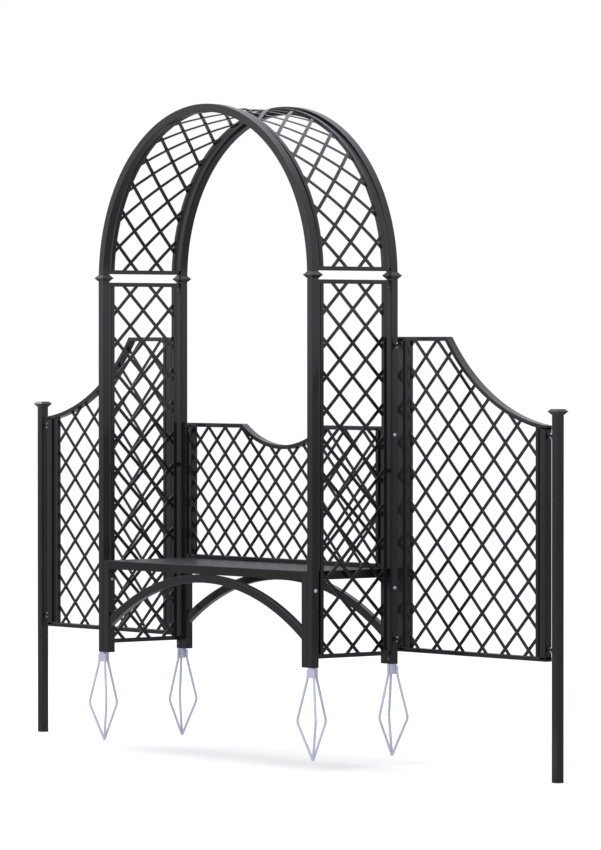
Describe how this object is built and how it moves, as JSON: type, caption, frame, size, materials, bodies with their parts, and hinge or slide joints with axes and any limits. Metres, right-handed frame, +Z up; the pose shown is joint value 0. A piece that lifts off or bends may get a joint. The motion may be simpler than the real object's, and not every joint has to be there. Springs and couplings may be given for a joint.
{
  "type": "arbor bench",
  "caption": "Metal garden arbor with a round lattice arch, a bench between its posts and two hinged trellis wings, held in the soil by spikes and outer posts.",
  "frame": {"origin": "ground level, at the centre of the four main posts' feet", "axes": "+X to the right seen from the front, +Y to the back of the bench, +Z up"},
  "size_m": [4.026, 0.5768, 3.158],
  "materials": {
    "black_paint": "satin black powder coat",
    "seat_paint": "satin black powder coat on flat sheet",
    "galvanised": "dull galvanised",
    "bolt_steel": "bright zinc plate"
  },
  "bodies": {
    "arbor": {"post_front_left": "black_paint", "post_front_right": "black_paint", "post_rear_left": "black_paint", "post_rear_right": "black_paint", "spike_front_left": "galvanised", "spike_front_right": "galvanised", "spike_rear_left": "galvanised", "spike_rear_right": "galvanised", "collar_front_left": "black_paint", "collar_front_right": "black_paint", "collar_rear_left": "black_paint", "collar_rear_right": "black_paint", "hoop_front": "black_paint", "hoop_rear": "black_paint", "panel_hoop_front": "black_paint", "panel_hoop_rear": "black_paint", "arch_rail_left": "black_paint", "arch_rail_right": "black_paint", "arch_lattice": "black_paint", "side_frame_left": "black_paint", "side_frame_right": "black_paint", "side_lattice_left": "black_paint", "side_lattice_right": "black_paint", "bench_leg_left": "black_paint", "bench_leg_right": "black_paint", "back_upright_left": "black_paint", "back_upright_right": "black_paint", "seat_pan": "seat_paint", "brace_front": "black_paint", "brace_rear": "black_paint", "back_frame": "black_paint", "back_lattice": "black_paint", "post_lugs_left": "black_paint", "post_lugs_right": "black_paint", "hinge_bolts_left": "bolt_steel", "hinge_bolts_right": "bolt_steel", "bench_bolts": "bolt_steel", "panel_bolts": "bolt_steel"},
    "wing_left": {"wing_frame_left": "black_paint", "wing_lattice_left": "black_paint", "wing_lugs_left": "black_paint"},
    "outer_left": {"outer_post_left": "black_paint", "outer_cap_left": "black_paint", "outer_lugs_left": "black_paint", "outer_bolts_left": "bolt_steel"},
    "wing_right": {"wing_frame_right": "black_paint", "wing_lattice_right": "black_paint", "wing_lugs_right": "black_paint"},
    "outer_right": {"outer_post_right": "black_paint", "outer_cap_right": "black_paint", "outer_lugs_right": "black_paint", "outer_bolts_right": "bolt_steel"}
  },
  "joints": [
    {"name": "wing_left_hinge", "type": "hinge", "parent": "arbor", "child": "wing_left", "pos_m": [-0.85162, 0.243, 0.121], "axis": [0, 0, -1], "range_deg": [-78, 78]},
    {"name": "wing_right_hinge", "type": "hinge", "parent": "arbor", "child": "wing_right", "pos_m": [0.85162, 0.243, 0.121], "axis": [0, 0, 1], "range_deg": [-78, 78]},
    {"name": "outer_post_left_hinge", "type": "hinge", "parent": "wing_left", "child": "outer_left", "pos_m": [-1.93738, 0.243, 0.121], "axis": [0, 0, -1], "range_deg": [-78, 78]},
    {"name": "outer_post_right_hinge", "type": "hinge", "parent": "wing_right", "child": "outer_right", "pos_m": [1.93738, 0.243, 0.121], "axis": [0, 0, 1], "range_deg": [-78, 78]}
  ]
}
